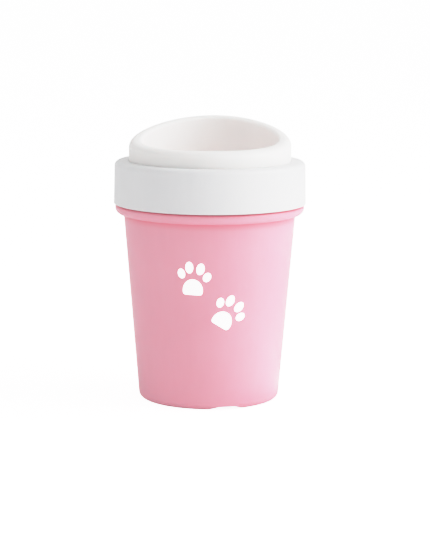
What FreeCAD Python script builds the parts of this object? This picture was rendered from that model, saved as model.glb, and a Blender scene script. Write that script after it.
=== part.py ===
import FreeCAD
import Part
import math
import os

V = FreeCAD.Vector
UP = V(0, 0, 1)
ORIGIN = V(0, 0, 0)

# Paw washer cup.  Millimetres, +Z up, origin at the centre of the foot.
# -Y is the low side of the mouth, +Y its high side.

# ---- tapered cup ---------------------------------------------------------
BODY_H = 97.2            # table to the underside of the bead
BODY_R_TOP = 44.75       # outside radius under the bead
BODY_R_BASE = 36.5       # outside radius at the table, before rounding
WALL = 2.0
FOOT_H = 2.5             # height of the recess under the floor
FOOT_W = 6.0             # width of the foot rim
FOOT_ROUND = 3.2
FLOOR_T = 2.0
FLOOR_ROUND = 3.0        # inside corner between floor and wall
NOTCH_COUNT = 3          # drain notches through the foot rim
NOTCH_W = 8.0
NOTCH_H = 1.7
NOTCH_RAMP = 5.5
NOTCH_AZ = 20.0          # first notch, from the front towards +X

BEAD_H = 5.0             # stiffening bead that the lid closes onto
BEAD_OUT = 4.5
BEAD_WALL = 1.7
BEAD_ROUND = 3.4         # the bead rolls into the taper below
BEAD_TOP_ROUND = 1.3
BEAD_GROOVE_H = 2.7      # moulding groove behind the bead, under the ring
NECK_STEP = 0.45         # neck stands out from the taper
NECK_WALL = 2.2
NECK_H = 14.9

# ---- screw thread, three starts, right-hand ------------------------------
STARTS = 3
LEAD = 12.0
THREAD_Z = 4.7           # first turn above the bead
THREAD_OUT = 1.5
THREAD_ROOT = 2.2
THREAD_CREST = 1.0
THREAD_SPAN = 110.0
LUG_SPAN = 60.0
LUG_LAG = 25.0           # lug starts this far along the ridge when shut
LUG_ROOT = 1.7
LUG_CREST = 0.9
LUG_BITE = 0.8           # radial hold of a lug under a ridge
FLANK_GAP = 0.26
THREAD_AZ = 35.0
SINK = 0.3               # depth that fused features run into their wall

# ---- lid ring ------------------------------------------------------------
RING_GAP = 0.3           # between bead and ring
RING_SPACE = 2.4         # neck to ring, room for the thread
RING_WALL = 2.4
RING_PLATE = 2.8
RING_TOP_ROUND = 2.7
RING_LOW_ROUND = 0.5
RING_DRAFT = 0.4         # the ring is this much smaller at its top
SNAP_COUNT = 3           # snap ribs that keep the collar in the ring
SNAP_SPAN = 30.0
SNAP_BITE = 0.35
SNAP_H = 0.7
SNAP_GAP = 0.3

# ---- stack clamped between neck and lid ring -----------------------------
BRUSH_FLANGE_T = 1.6
SEAL_T = 1.6
COLLAR_FLANGE_T = 1.8
FLANGE_STEP = 0.2        # brush flange stays inside the neck edge
SEAL_EDGE = 0.1
SEAL_W = 3.7

# ---- mouth collar --------------------------------------------------------
LEDGE_W = 7.8            # flat ledge of the ring outside the collar
LIP_W = 7.1              # rolled rim, outside to inside
LIP_WALL = 2.2
COLLAR_GAP = 0.1         # collar to the hole of the ring
COLLAR_FLANGE_GAP = 1.9  # flange to the wall of the ring
SPIGOT_DEPTH = 11.2      # splash guard below the collar flange
RIM_LOW = 8.4            # lowest point of the rim above the ring
RIM_ARC_R = 252.0        # the rim follows one hollow arc, seen from the side
RIM_LOW_Y = -39.0
RIM_OUT_ROUND = 4.0
RIM_IN_ROUND = 1.8

# ---- brush cage and silicone strips --------------------------------------
STRIPS = 8
CAGE_LIFT = 1.0          # cage above the floor
CAGE_GAP = 2.9           # cage to the cup wall at the bottom
CAGE_WALL = 1.6
STAVE_T = 2.6            # staves are flat inside, so the strips lie on them
SKIRT_GAP = 0.3          # skirt to the neck bore
SKIRT_WALL = 2.0
SKIRT_DEPTH = 9.0
HOOP_H = 6.0
WINDOW_W = 8.4
STRIP_GAP = 0.45         # strip edge to the end of the flat
STRIP_T = 1.6
STRIP_END = 4.5          # strip end to the end of the cage
BRISTLE_TIP = 17.5       # free radius left between the bristle tips
BRISTLE_ROWS = 12
BRISTLE_ROOT_R = 1.25
BRISTLE_TIP_R = 0.65
BRISTLE_PITCH = 5.0
BUTTONS = 3              # buttons that hold a strip in its stave
BUTTON_R = 1.6
BUTTON_FIT = 0.05
BUTTON_HEAD_R = 2.6
BUTTON_HEAD_T = 1.2

# ---- paw prints ----------------------------------------------------------
INK_T = 0.15
PAD_W = 10.4
PAD_H = 8.2
PAD_CORNER = 1.5
PAD_TURN = -5.0          # pad against its toes, clockwise
# toes of one side: distance out, distance up, width, length, lean
TOES = ((2.9, 9.8, 4.2, 6.1, 8.0), (6.6, 6.1, 3.9, 5.2, 22.0))

# ---- tied sizes ----------------------------------------------------------
TAPER = (BODY_R_TOP - BODY_R_BASE) / BODY_H
FLOOR_Z = FOOT_H + FLOOR_T
BEAD_TOP = BODY_H + BEAD_H
NECK_R = BODY_R_TOP + NECK_STEP
BORE_R = NECK_R - NECK_WALL
NECK_TOP = BEAD_TOP + NECK_H
BEAD_R = BODY_R_TOP + BEAD_OUT

SEAL_Z = NECK_TOP + BRUSH_FLANGE_T
COLLAR_Z = SEAL_Z + SEAL_T
PLATE_Z = COLLAR_Z + COLLAR_FLANGE_T
RING_Z = BEAD_TOP + RING_GAP
RING_TOP = PLATE_Z + RING_PLATE
RING_IN = NECK_R + RING_SPACE
RING_R = RING_IN + RING_WALL

COLLAR_R = RING_R - LEDGE_W
MOUTH_R = COLLAR_R - LIP_W
COLLAR_FLANGE_R = RING_IN - COLLAR_FLANGE_GAP

CAGE_Z = FLOOR_Z + CAGE_LIFT
CAGE_R = BODY_R_BASE + TAPER * CAGE_Z - WALL - CAGE_GAP
CAGE_IN = CAGE_R - CAGE_WALL
FLAT_IN = CAGE_R - STAVE_T
SKIRT_R = BORE_R - SKIRT_GAP
SKIRT_IN = SKIRT_R - SKIRT_WALL
SKIRT_Z = NECK_TOP - SKIRT_DEPTH
SHOULDER_Z = SKIRT_Z - (SKIRT_R - CAGE_R)
FLAT_HALF = math.sqrt(CAGE_IN ** 2 - FLAT_IN ** 2)


def outer_r(z):
    """Outside radius of the tapered body at height z."""
    return BODY_R_BASE + TAPER * z


def turned(shape, degrees):
    copy = shape.copy()
    copy.rotate(ORIGIN, UP, degrees)
    return copy


def lathe(points, angle=360.0):
    """Solid of revolution from (radius, height) points."""
    wire = Part.makePolygon([V(r, 0, z) for r, z in points + points[:1]])
    return Part.Face(wire).revolve(ORIGIN, UP, angle)


def tube(r_in, r_out, z0, z1):
    return lathe([(r_in, z0), (r_out, z0), (r_out, z1), (r_in, z1)])


def round_rings(shape, rings):
    """Round circular edges, each given as (radius, height, rounding)."""
    for r, z, rounding in rings:
        edges = []
        for e in shape.Edges:
            c = e.Curve
            if not isinstance(c, Part.Circle):
                continue
            if abs(c.Radius - r) < 0.02 and abs(c.Center.z - z) < 0.02:
                edges.append(e)
        shape = shape.makeFillet(rounding, edges)
    return shape


def helical_rib(r_root, r_crest, w_root, w_crest, az, span, z):
    """Thread rib that climbs counter-clockwise from azimuth az at height z."""
    path = Part.makeHelix(LEAD, LEAD * span / 360.0, r_root)
    corners = [
        V(r_root, 0, -w_root / 2),
        V(r_crest, 0, -w_crest / 2),
        V(r_crest, 0, w_crest / 2),
        V(r_root, 0, w_root / 2),
    ]
    profile = Part.makePolygon(corners + corners[:1])
    rib = Part.Wire(path.Edges).makePipeShell([profile], True, True)
    rib.translate(V(0, 0, z))
    return turned(rib, az - 90.0)


def one_solid(shape):
    """The single solid held by a finished shape."""
    shape = shape.removeSplitter()
    return shape.Solids[0] if len(shape.Solids) == 1 else shape


def make_cup():
    bore_z = (BORE_R + WALL - BODY_R_BASE) / TAPER
    inner_base = outer_r(FLOOR_Z) - WALL
    foot_in = BODY_R_BASE - FOOT_W
    bead_in = BEAD_R - BEAD_WALL
    groove_floor = BEAD_TOP - BEAD_GROOVE_H
    cup = lathe([
        (0, FOOT_H),
        (foot_in, FOOT_H),
        (foot_in, 0),
        (BODY_R_BASE, 0),
        (BODY_R_TOP, BODY_H),
        (BEAD_R, BODY_H),
        (BEAD_R, BEAD_TOP),
        (bead_in, BEAD_TOP),
        (bead_in, groove_floor),
        (NECK_R, groove_floor),
        (NECK_R, NECK_TOP),
        (BORE_R, NECK_TOP),
        (BORE_R, bore_z),
        (inner_base, FLOOR_Z),
        (0, FLOOR_Z),
    ])
    cup = round_rings(cup, [
        (BODY_R_BASE, 0, FOOT_ROUND),
        (foot_in, 0, 0.6),
        (foot_in, FOOT_H, 0.8),
        (inner_base, FLOOR_Z, FLOOR_ROUND),
        (BEAD_R, BODY_H, BEAD_ROUND),
        (BODY_R_TOP, BODY_H, 0.6),
        (BEAD_R, BEAD_TOP, BEAD_TOP_ROUND),
        (NECK_R, groove_floor, 0.5),
        (BORE_R, NECK_TOP, 0.4),
        (NECK_R, NECK_TOP, 0.4),
    ])
    ribs = []
    for i in range(STARTS):
        az = THREAD_AZ + 360.0 / STARTS * i
        ribs.append(helical_rib(NECK_R - SINK, NECK_R + THREAD_OUT, THREAD_ROOT,
                                THREAD_CREST, az, THREAD_SPAN, BEAD_TOP + THREAD_Z))
    cup = cup.fuse(ribs)
    half = NOTCH_W / 2
    low = NOTCH_RAMP + half
    sill = V(0, -foot_in + 3, 0)
    section = [
        V(-low, 0, -0.5),
        V(low, 0, -0.5),
        V(low, 0, 0),
        V(half, 0, NOTCH_H),
        V(-half, 0, NOTCH_H),
        V(-low, 0, 0),
    ]
    wire = Part.makePolygon([p + sill for p in section + section[:1]])
    notch = Part.Face(wire).extrude(V(0, -FOOT_W - 6, 0))
    for i in range(NOTCH_COUNT):
        cup = cup.cut(turned(notch, NOTCH_AZ + 360.0 / NOTCH_COUNT * i))
    return one_solid(cup)


def ellipse_prism(u, v, width, length, lean, depth):
    """Upright ellipse in the X-Z plane, leaning by degrees, extruded along +Y."""
    curve = Part.Ellipse(ORIGIN, length / 2, width / 2)
    face = Part.Face(Part.Wire(curve.toShape()))
    face.rotate(ORIGIN, V(1, 0, 0), 90)
    face.rotate(ORIGIN, V(0, 1, 0), 90 + lean)
    face.translate(V(u, 0, v))
    return face.extrude(V(0, depth, 0))


def pad_prism(depth):
    """Main pad: a dome on a flat base with rounded corners."""
    rise = PAD_H * 0.69
    centre = PAD_H / 2 - rise
    base = -PAD_H / 2
    dome = ellipse_prism(0, centre, PAD_W, 2 * rise, 0, depth)
    pad = dome.common(Part.makeBox(PAD_W + 2, depth, PAD_H + 1, V(-PAD_W / 2 - 1, 0, base)))
    edges = []
    for e in pad.Edges:
        a = e.Vertexes[0].Point
        b = e.Vertexes[-1].Point
        along_y = abs(a.x - b.x) < 0.01 and abs(a.z - b.z) < 0.01
        if along_y and abs(a.z - base) < 0.01:
            edges.append(e)
    return pad.makeFillet(PAD_CORNER, edges)


def make_print(az, z, lean):
    """Five ink films on the tapered wall; lean turns the print clockwise."""
    depth = 12.0
    pad = pad_prism(depth)
    pad.rotate(ORIGIN, V(0, 1, 0), PAD_TURN)
    prisms = [pad]
    for out, up, width, length, tilt in TOES:
        for side in (-1, 1):
            prisms.append(ellipse_prism(side * out, up, width, length, side * tilt, depth))
    low = z - 2 * PAD_H
    high = z + 2 * PAD_H
    shell = lathe([
        (outer_r(low), low),
        (outer_r(low) + INK_T, low),
        (outer_r(high) + INK_T, high),
        (outer_r(high), high),
    ])
    films = []
    for prism in prisms:
        prism.rotate(ORIGIN, V(0, 1, 0), lean)
        prism.translate(V(0, -outer_r(z) - depth / 3, z))
        films.append(turned(prism, az).common(shell).Solids[0])
    return Part.makeCompound(films)


def make_ring():
    hole = COLLAR_R + COLLAR_GAP
    ring = lathe([
        (RING_IN, RING_Z),
        (RING_R, RING_Z),
        (RING_R - RING_DRAFT, RING_TOP),
        (hole, RING_TOP),
        (hole, PLATE_Z),
        (RING_IN, PLATE_Z),
    ])
    ring = round_rings(ring, [
        (RING_R - RING_DRAFT, RING_TOP, RING_TOP_ROUND),
        (RING_R, RING_Z, RING_LOW_ROUND),
        (RING_IN, RING_Z, 0.4),
        (hole, RING_TOP, 0.2),
    ])
    crest = NECK_R + THREAD_OUT - LUG_BITE
    reach = (RING_IN - crest) / 2
    ridge_half = (THREAD_ROOT + THREAD_CREST) / 4
    lug_half = LUG_CREST / 2 + (LUG_ROOT - LUG_CREST) / 4 * LUG_BITE / reach
    drop = ridge_half + lug_half + FLANK_GAP
    features = []
    for i in range(STARTS):
        az = THREAD_AZ + LUG_LAG + 360.0 / STARTS * i
        z = BEAD_TOP + THREAD_Z + LEAD * LUG_LAG / 360.0 - drop
        features.append(helical_rib(RING_IN + SINK, crest, LUG_ROOT, LUG_CREST,
                                    az, LUG_SPAN, z))
    snap_r = COLLAR_FLANGE_R - SNAP_BITE
    snap_top = COLLAR_Z - SNAP_GAP
    snap = lathe([
        (RING_IN + SINK, snap_top - SNAP_H - 1.6),
        (RING_IN + SINK, snap_top),
        (snap_r, snap_top),
        (snap_r, snap_top - SNAP_H),
    ], SNAP_SPAN)
    for i in range(SNAP_COUNT):
        features.append(turned(snap, 360.0 / SNAP_COUNT * i + 90.0 - SNAP_SPAN / 2))
    return one_solid(ring.fuse(features))


def above_rim(drop):
    """Block above the hollow arc of the rim, lowered by drop."""
    centre_z = RING_TOP + RIM_LOW + RIM_ARC_R
    reach = 4 * COLLAR_R
    axis = V(-reach / 2, RIM_LOW_Y, centre_z)
    return Part.makeCylinder(RIM_ARC_R + drop, reach, axis, V(1, 0, 0))


def make_collar():
    top = RING_TOP + 2 * COLLAR_R
    wall_in = MOUTH_R + LIP_WALL
    hollow_out = COLLAR_R - LIP_WALL
    foot = COLLAR_Z - SPIGOT_DEPTH
    collar = lathe([
        (MOUTH_R, foot),
        (wall_in, foot),
        (wall_in, COLLAR_Z),
        (COLLAR_FLANGE_R, COLLAR_Z),
        (COLLAR_FLANGE_R, PLATE_Z),
        (COLLAR_R, PLATE_Z),
        (COLLAR_R, top),
        (MOUTH_R, top),
    ])
    collar = collar.cut(above_rim(0.0)).Solids[0]
    for r, rounding in ((COLLAR_R, RIM_OUT_ROUND), (MOUTH_R, RIM_IN_ROUND)):
        edges = []
        for e in collar.Edges:
            points = e.discretize(9)
            on_wall = all(abs(math.hypot(p.x, p.y) - r) < 0.02 for p in points)
            on_rim = all(p.z > RING_TOP + RIM_LOW / 2 for p in points)
            level = max(p.z for p in points) - min(p.z for p in points) > 0.5
            spread = max(abs(p.x - points[0].x) + abs(p.y - points[0].y) for p in points)
            if on_wall and on_rim and level and spread > 1.0:
                edges.append(e)
        collar = collar.makeFillet(rounding, edges)
    hollow = tube(wall_in, hollow_out, COLLAR_Z, top).cut(above_rim(LIP_WALL))
    hollow = [s for s in hollow.Solids if s.BoundBox.ZMin < COLLAR_Z + 1][0]
    collar = collar.cut(hollow)
    collar = round_rings(collar, [(MOUTH_R, foot, 0.6), (wall_in, foot, 0.6)])
    return one_solid(collar)


def make_seal():
    outer = NECK_R - FLANGE_STEP - SEAL_EDGE
    seal = tube(outer - SEAL_W, outer, SEAL_Z, COLLAR_Z)
    return one_solid(seal)


def button_heights():
    low = CAGE_Z + STRIP_END
    high = SHOULDER_Z - STRIP_END / 2
    end = 9.0
    step = (high - low - 2 * end) / (BUTTONS - 1)
    return [low + end + step * i for i in range(BUTTONS)]


def make_frame():
    slope = SKIRT_WALL * math.sqrt(2)
    inner_shoulder = SHOULDER_Z - (CAGE_R - CAGE_IN) + slope
    inner_skirt = SKIRT_Z - (SKIRT_R - SKIRT_IN) + slope
    frame = lathe([
        (CAGE_IN, CAGE_Z),
        (CAGE_R, CAGE_Z),
        (CAGE_R, SHOULDER_Z),
        (SKIRT_R, SKIRT_Z),
        (SKIRT_R, NECK_TOP),
        (NECK_R - FLANGE_STEP, NECK_TOP),
        (NECK_R - FLANGE_STEP, SEAL_Z),
        (SKIRT_IN, SEAL_Z),
        (SKIRT_IN, inner_skirt),
        (CAGE_IN, inner_shoulder),
    ])
    features = []
    stave_w = 2 * FLAT_HALF
    for i in range(STRIPS):
        stave = Part.makeBox(stave_w, STAVE_T - 0.2, SHOULDER_Z - CAGE_Z,
                             V(-stave_w / 2, -CAGE_R + 0.2, CAGE_Z))
        features.append(turned(stave, 360.0 / STRIPS * i))
    frame = frame.fuse(features)
    frame = frame.common(lathe([
        (0, CAGE_Z),
        (CAGE_R, CAGE_Z),
        (CAGE_R, SHOULDER_Z),
        (SKIRT_R, SKIRT_Z),
        (SKIRT_R, NECK_TOP),
        (NECK_R, NECK_TOP),
        (NECK_R, SEAL_Z),
        (0, SEAL_Z),
    ]))
    tiers = 2
    clear = SHOULDER_Z - CAGE_Z - HOOP_H * (tiers + 1)
    window_h = clear / tiers
    holes = []
    for i in range(STRIPS):
        az = 360.0 / STRIPS * (i + 0.5)
        for k in range(tiers):
            z = CAGE_Z + HOOP_H + k * (window_h + HOOP_H)
            slot = Part.makeBox(WINDOW_W, 3 * STAVE_T, window_h,
                                V(-WINDOW_W / 2, -CAGE_R - STAVE_T, z))
            slot = slot.makeFillet(WINDOW_W / 2 - 1.2, [
                e for e in slot.Edges
                if abs(e.Vertexes[0].Point.y - e.Vertexes[1].Point.y) > 1
            ])
            holes.append(turned(slot, az))
        for z in button_heights():
            hole = Part.makeCylinder(BUTTON_R + BUTTON_FIT, 3 * STAVE_T,
                                     V(0, -CAGE_R - STAVE_T, z), V(0, 1, 0))
            holes.append(turned(hole, 360.0 / STRIPS * i))
    frame = frame.cut(holes)
    return one_solid(frame)


def make_bristle():
    """One tapered bristle on +Y, root plane at y = 0, with a round tip."""
    length = FLAT_IN - STRIP_T - BRISTLE_TIP
    edges = [
        Part.makeLine(V(0, -SINK, 0), V(BRISTLE_ROOT_R, -SINK, 0)),
        Part.makeLine(V(BRISTLE_ROOT_R, -SINK, 0), V(BRISTLE_TIP_R, length - BRISTLE_TIP_R, 0)),
        Part.Arc(V(BRISTLE_TIP_R, length - BRISTLE_TIP_R, 0),
                 V(BRISTLE_TIP_R * math.sqrt(0.5),
                   length - BRISTLE_TIP_R * (1 - math.sqrt(0.5)), 0),
                 V(0, length, 0)).toShape(),
        Part.makeLine(V(0, length, 0), V(0, -SINK, 0)),
    ]
    return Part.Face(Part.Wire(edges)).revolve(ORIGIN, V(0, 1, 0), 360)


def make_strip():
    """Silicone strip for the stave at the front: band, bristles and buttons."""
    low = CAGE_Z + STRIP_END
    high = SHOULDER_Z - STRIP_END / 2
    half = FLAT_HALF - STRIP_GAP
    band = Part.makeBox(2 * half, STRIP_T, high - low, V(-half, -FLAT_IN, low))
    band = band.makeFillet(3.0, [
        e for e in band.Edges
        if abs(e.Vertexes[0].Point.y - e.Vertexes[1].Point.y) > 1
    ])
    bristle = make_bristle()
    features = []
    pitch = (high - low) / BRISTLE_ROWS
    for row in range(BRISTLE_ROWS):
        across = 3 - row % 2
        for k in range(across):
            copy = bristle.copy()
            copy.translate(V((k - (across - 1) / 2) * BRISTLE_PITCH, -FLAT_IN + STRIP_T,
                             low + (row + 0.5) * pitch))
            features.append(copy)
    head_y = -CAGE_R - BUTTON_FIT
    for z in button_heights():
        stem = Part.makeCylinder(BUTTON_R, STAVE_T + 2 * BUTTON_FIT + SINK,
                                 V(0, head_y - BUTTON_FIT, z), V(0, 1, 0))
        head = Part.makeCone(BUTTON_R - 0.4, BUTTON_HEAD_R, BUTTON_HEAD_T,
                             V(0, head_y - BUTTON_HEAD_T, z), V(0, 1, 0))
        features.append(stem)
        features.append(head)
    return one_solid(band.fuse(features))


parts = {
    "cup_body": make_cup(),
    "paw_print_upper": make_print(-6.4, 64.7, 7.0),
    "paw_print_lower": make_print(15.2, 48.0, 36.5),
    "brush_frame": make_frame(),
    "lid_seal": make_seal(),
    "mouth_collar": make_collar(),
    "lid_ring": make_ring(),
}
strip = make_strip()
for n in range(STRIPS):
    parts["brush_strip_%d" % (n + 1)] = turned(strip, 360.0 / STRIPS * n)

os.makedirs("parts", exist_ok=True)
for name, shape in parts.items():
    shape.exportStep("parts/%s.step" % name)
    box = shape.BoundBox
    print("%-16s solids %d valid %s volume %9.1f  z %6.2f to %6.2f  x %6.2f to %6.2f" % (
        name, len(shape.Solids), shape.isValid(), shape.Volume,
        box.ZMin, box.ZMax, box.XMin, box.XMax))
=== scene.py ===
import math
import bpy
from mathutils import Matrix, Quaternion, Vector

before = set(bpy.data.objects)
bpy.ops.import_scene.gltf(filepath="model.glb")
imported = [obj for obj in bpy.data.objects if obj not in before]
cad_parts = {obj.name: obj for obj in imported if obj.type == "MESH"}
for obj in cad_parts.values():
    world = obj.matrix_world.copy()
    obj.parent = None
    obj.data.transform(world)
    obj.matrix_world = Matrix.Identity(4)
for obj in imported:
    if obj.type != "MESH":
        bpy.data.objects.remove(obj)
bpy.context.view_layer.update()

WHITE_LIGHT = (1.0, 1.0, 1.0, 1.0)
FLOW_SHARE = 0.35           # how much of the tone follows the flow streaks
GRAIN_DEPTH = 0.000012
DRIFT_DEPTH = 0.00025
PLASTIC_IOR = 1.47
FOLD_SHADE_START = 0.02             # painted fold shade starts above this height; folds lower than this are left to the floor's own shade
FOLD_SHADE_FADE = 100.0           # the painted fold shade is full 1 cm above that height
# how sharply the painted fold shade grows as folds close in
FOLD_SHADE_POWER = 2.3
INK_GLOW = 0.85             # painted light: the prints glow a little so they stay as white as they look against the pink
FLOOR_LIFT = 1.6            # floor and tent look whiter than they light the cup
TENT_SEEN = 3.0
TENT_LEVEL = 0.86
TENT_DROP = 0.1             # the tent is a little darker straight overhead


# ---- small node helpers ---------------------------------------------------
class Graph:
    """Builds a node tree with short calls."""

    def __init__(self, tree):
        self.tree = tree
        self.nodes = tree.nodes
        self.nodes.clear()

    def add(self, kind, **inputs):
        node = self.nodes.new(kind)
        for name, value in inputs.items():
            self.put(node.inputs[name.replace("_", " ")], value)
        return node

    def put(self, socket, value):
        if isinstance(value, bpy.types.NodeSocket):
            self.tree.links.new(value, socket)
        else:
            socket.default_value = value

    def math(self, op, a, b=0.0, clamp=False):
        node = self.nodes.new("ShaderNodeMath")
        node.operation = op
        node.use_clamp = clamp
        self.put(node.inputs[0], a)
        self.put(node.inputs[1], b)
        return node.outputs[0]

    def noise(self, where, scale, detail=3.0, rough=0.55):
        node = self.add("ShaderNodeTexNoise", Vector=where, Scale=scale, Detail=detail,
                        Roughness=rough)
        return node.outputs["Fac"]

    def spread(self, value, low, high):
        """Maps the middle of a noise, 0.3 to 0.7, onto low to high."""
        node = self.nodes.new("ShaderNodeMapRange")
        self.put(node.inputs["Value"], value)
        node.inputs["From Min"].default_value = 0.3
        node.inputs["From Max"].default_value = 0.7
        node.inputs["To Min"].default_value = low
        node.inputs["To Max"].default_value = high
        return node.outputs["Result"]

    def mix(self, factor, a, b):
        node = self.nodes.new("ShaderNodeMix")
        node.data_type = "RGBA"
        self.put(node.inputs["Factor"], factor)
        self.put(node.inputs["A"], a)
        self.put(node.inputs["B"], b)
        return node.outputs["Result"]

    def close(self, shader, kind="ShaderNodeOutputMaterial"):
        """Ends the tree with its output node."""
        self.put(self.add(kind).inputs["Surface"], shader.outputs[0])


def rgb(r, g, b):
    return (r, g, b, 1.0)


def new_material(name):
    """An empty material, its graph and its object coordinates."""
    mat = bpy.data.materials.new(name)
    mat.use_nodes = True
    g = Graph(mat.node_tree)
    return mat, g, g.add("ShaderNodeTexCoord").outputs["Object"]


def moulded(name, dark, light, rough, scatter, radius, grain=2600.0, size=0.002,
            fold_shade_colour=None, reach=0.004):
    """Moulded plastic or silicone: tone drift, flow streaks, fine grain and uneven gloss.

    The fold colour is painted shade: inside folds narrower than reach the base colour is mixed
    toward it, standing in for the shade and coloured bounce light there.
    """
    mat, g, where = new_material(name)
    along = g.add("ShaderNodeMapping", Vector=where, Scale=(1.0, 1.0, 0.16)).outputs["Vector"]
    drift = g.noise(where, 26.0, 2.0)
    flow = g.noise(along, 260.0, 4.0)
    fine = g.noise(where, grain, 2.0, 0.5)
    tone = g.math("ADD", g.math("MULTIPLY", drift, 1.0 - FLOW_SHARE),
                  g.math("MULTIPLY", flow, FLOW_SHARE))
    colour = g.mix(g.spread(tone, 0.0, 1.0), dark, light)
    # painted shade: narrow folds above the foot get the fold colour mixed into the base colour, as
    # shade and bounce light would tint them
    if fold_shade_colour:
        open_sky = g.add("ShaderNodeAmbientOcclusion", Distance=reach).outputs["AO"]
        height = g.add("ShaderNodeSeparateXYZ", Vector=where).outputs["Z"]
        fold_shade_height_fade = g.math("MULTIPLY", g.math("SUBTRACT", height, FOLD_SHADE_START), FOLD_SHADE_FADE,
                            clamp=True)
        fold_shade_amount = g.math("SUBTRACT", 1.0, g.math("POWER", open_sky, FOLD_SHADE_POWER))
        colour = g.mix(g.math("MULTIPLY", fold_shade_amount, fold_shade_height_fade), colour, fold_shade_colour)
    gloss = g.math("ADD", g.spread(flow, rough - 0.025, rough + 0.025),
                   g.spread(fine, -0.03, 0.03))
    bump = g.add("ShaderNodeBump", Height=fine, Strength=0.5, Distance=GRAIN_DEPTH)
    slow = g.add("ShaderNodeBump", Height=drift, Strength=0.35, Distance=DRIFT_DEPTH,
                 Normal=bump.outputs[0])
    body = g.add("ShaderNodeBsdfPrincipled", Base_Color=colour, Roughness=gloss,
                 Normal=slow.outputs[0])
    body.inputs["IOR"].default_value = PLASTIC_IOR
    body.inputs["Specular IOR Level"].default_value = 0.5
    body.inputs["Subsurface Weight"].default_value = scatter
    body.inputs["Subsurface Radius"].default_value = radius
    body.inputs["Subsurface Scale"].default_value = size
    g.close(body)
    return mat


def ink(name):
    """Screen-printed white ink: opaque, with a faint uneven film and a painted glow that keeps it
    white.
    """
    mat, g, where = new_material(name)
    film = g.noise(where, 900.0, 4.0)
    mesh = g.noise(where, 5200.0, 2.0)
    colour = g.mix(g.spread(film, 0.0, 1.0), rgb(0.93, 0.925, 0.925), rgb(0.98, 0.98, 0.98))
    bump = g.add("ShaderNodeBump", Height=mesh, Strength=0.4, Distance=GRAIN_DEPTH)
    body = g.add("ShaderNodeBsdfPrincipled", Base_Color=colour, Normal=bump.outputs[0],
                 Roughness=g.spread(film, 0.42, 0.52))
    # painted light: the ink glows faintly though it is no lamp
    body.inputs["Emission Color"].default_value = WHITE_LIGHT
    body.inputs["Emission Strength"].default_value = INK_GLOW
    g.close(body)
    return mat


# the cup's deep pink fold colour is painted shade in its creases and under the ring
PINK = moulded("cup_pink_pp", rgb(0.855, 0.38, 0.468), rgb(0.895, 0.41, 0.498), 0.37,
               scatter=0.3, radius=(1.0, 0.35, 0.42), size=0.003, fold_shade_colour=rgb(0.9, 0.2, 0.27))
RING = moulded("ring_white_pp", rgb(0.745, 0.745, 0.755), rgb(0.78, 0.78, 0.785), 0.38,
               scatter=0.3, radius=(1.0, 0.9, 0.88), size=0.003)
COLLAR = moulded("collar_soft_white", rgb(0.925, 0.885, 0.865), rgb(0.955, 0.915, 0.895), 0.5,
                 scatter=0.4, radius=(1.0, 0.82, 0.8), size=0.005, grain=3400.0)
CAGE = moulded("cage_white_pp", rgb(0.88, 0.87, 0.865), rgb(0.91, 0.9, 0.895), 0.45,
               scatter=0.1, radius=(1.0, 0.9, 0.9))
SILICONE = moulded("bristle_pink_silicone", rgb(0.88, 0.5, 0.55), rgb(0.92, 0.56, 0.6), 0.55,
                   scatter=0.45, radius=(1.0, 0.5, 0.5), size=0.003, grain=1800.0)
SEAL = moulded("seal_silicone", rgb(0.78, 0.76, 0.75), rgb(0.83, 0.81, 0.8), 0.6,
               scatter=0.35, radius=(1.0, 0.9, 0.9), size=0.003)
INK = ink("print_white_ink")

FINISH = {"cup_body": PINK, "lid_ring": RING, "mouth_collar": COLLAR, "brush_frame": CAGE,
          "lid_seal": SEAL, "paw_print_upper": INK, "paw_print_lower": INK}
for name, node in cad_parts.items():
    for slot in node.material_slots:
        slot.material = FINISH.get(name, SILICONE)

# ---- floor ----------------------------------------------------------------
bpy.ops.mesh.primitive_plane_add(size=60.0, location=(0.0, 0.0, 0.0))
floor = bpy.context.object
floor.name = "floor"
paper, g, where = new_material("floor_paper")
tooth = g.noise(where, 700.0, 3.0)
tint = g.mix(g.spread(tooth, 0.0, 1.0), rgb(0.935, 0.935, 0.935), rgb(0.955, 0.955, 0.955))
sheet = g.add("ShaderNodeBsdfPrincipled", Base_Color=tint, Roughness=0.85)
sheet.inputs["Specular IOR Level"].default_value = 0.1
seen = g.add("ShaderNodeLightPath").outputs["Is Camera Ray"]
g.put(sheet.inputs["Emission Color"], WHITE_LIGHT)
g.put(sheet.inputs["Emission Strength"], g.math("MULTIPLY", seen, FLOOR_LIFT))
g.close(sheet)
floor.data.materials.append(paper)

# ---- light: a white tent, with one large softbox on the right ----------------
world = bpy.data.worlds.new("tent")
bpy.context.scene.world = world
world.use_nodes = True
g = Graph(world.node_tree)
ray = g.add("ShaderNodeTexCoord").outputs["Generated"]
up = g.add("ShaderNodeSeparateXYZ", Vector=ray).outputs["Z"]
strength = g.math("SUBTRACT", TENT_LEVEL, g.math("MULTIPLY", g.math("MAXIMUM", up, 0.0), TENT_DROP))
tent = g.add("ShaderNodeBackground", Color=WHITE_LIGHT, Strength=strength)
plain = g.add("ShaderNodeBackground", Color=WHITE_LIGHT, Strength=TENT_SEEN)
seen = g.add("ShaderNodeLightPath").outputs["Is Camera Ray"]
both = g.add("ShaderNodeMixShader")
for socket, value in zip(both.inputs, (seen, tent.outputs[0], plain.outputs[0])):
    g.put(socket, value)
g.close(both, "ShaderNodeOutputWorld")


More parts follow.
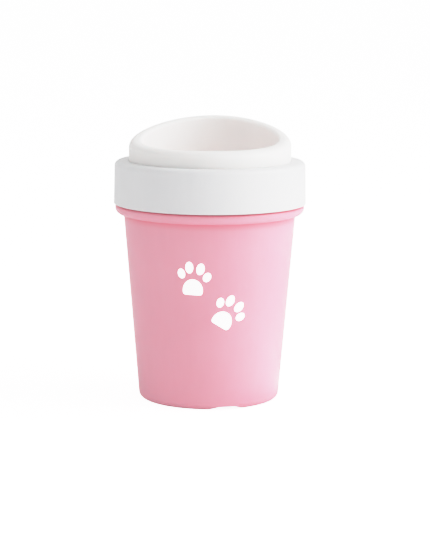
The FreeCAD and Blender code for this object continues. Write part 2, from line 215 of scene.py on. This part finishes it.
def softbox(name, place, aim, width, height, power):
    """Area lamp of power watts at place, facing aim."""
    light = bpy.data.lights.new(name, "AREA")
    light.shape = "RECTANGLE"
    light.size = width
    light.size_y = height
    light.energy = power
    lamp = bpy.data.objects.new(name, light)
    bpy.context.collection.objects.link(lamp)
    lamp.location = place
    lamp.rotation_mode = "QUATERNION"
    lamp.rotation_quaternion = (Vector(aim) - Vector(place)).to_track_quat("-Z", "Y")
    return lamp


softbox("key", (1.35, -0.05, 0.85), (0.0, 0.0, 0.1), 1.2, 1.2, 18.0)

# a weak lamp in the cup stands for the light that comes through its walls
inner = softbox("light_through_the_walls", (0.0, 0.0, 0.098), (0.0, 0.0, 0.2), 0.05, 0.05, 0.0062)
inner.data.shape = "DISK"
inner.data.color = (1.0, 0.9, 0.88)
inner.visible_camera = False
inner.visible_glossy = False

# a weak lamp on the table stands for what the table throws back on the right
bounce = softbox("table_bounce", (0.165, -0.09, 0.002), (0.165, -0.09, 1.0), 0.24, 0.26, 0.12)
bounce.visible_camera = False

# ---- camera -----------------------------------------------------------------
DISTANCE = 1.10
HEIGHT = 0.240
AZIMUTH = math.radians(5.0)
PITCH = math.radians(8.893)
ROLL = math.radians(0.35)
eye = bpy.data.cameras.new("camera")
camera = bpy.data.objects.new("camera", eye)
bpy.context.collection.objects.link(camera)
eye.sensor_width = 36.0
eye.lens = 142.4
eye.shift_x = 0.0106
eye.clip_end = 100.0
camera.location = (DISTANCE * math.sin(AZIMUTH), -DISTANCE * math.cos(AZIMUTH), HEIGHT)
gaze = Vector((-math.sin(AZIMUTH) * math.cos(PITCH),
               math.cos(AZIMUTH) * math.cos(PITCH), -math.sin(PITCH)))
camera.rotation_mode = "QUATERNION"
camera.rotation_quaternion = gaze.to_track_quat("-Z", "Y") @ Quaternion((0.0, 0.0, 1.0), ROLL)
bpy.context.scene.camera = camera

# ---- highlights roll off softly, channel by channel, as on a studio camera ----
WHITE = 2.5
RESPONSE = ((0.62, 0.62), (0.9, 0.82), (1.2, 0.9), (1.7, 0.955))    # (radiance, level)
view = bpy.context.scene.view_settings
view.view_transform = "Standard"
view.look = "None"
view.use_curve_mapping = True
view.curve_mapping.white_level = (WHITE, WHITE, WHITE)
curve = view.curve_mapping.curves[3]
for radiance, level in RESPONSE:
    curve.points.new(radiance / WHITE, level)
for point in list(curve.points)[:2]:
    point.handle_type = "VECTOR"
view.curve_mapping.update()
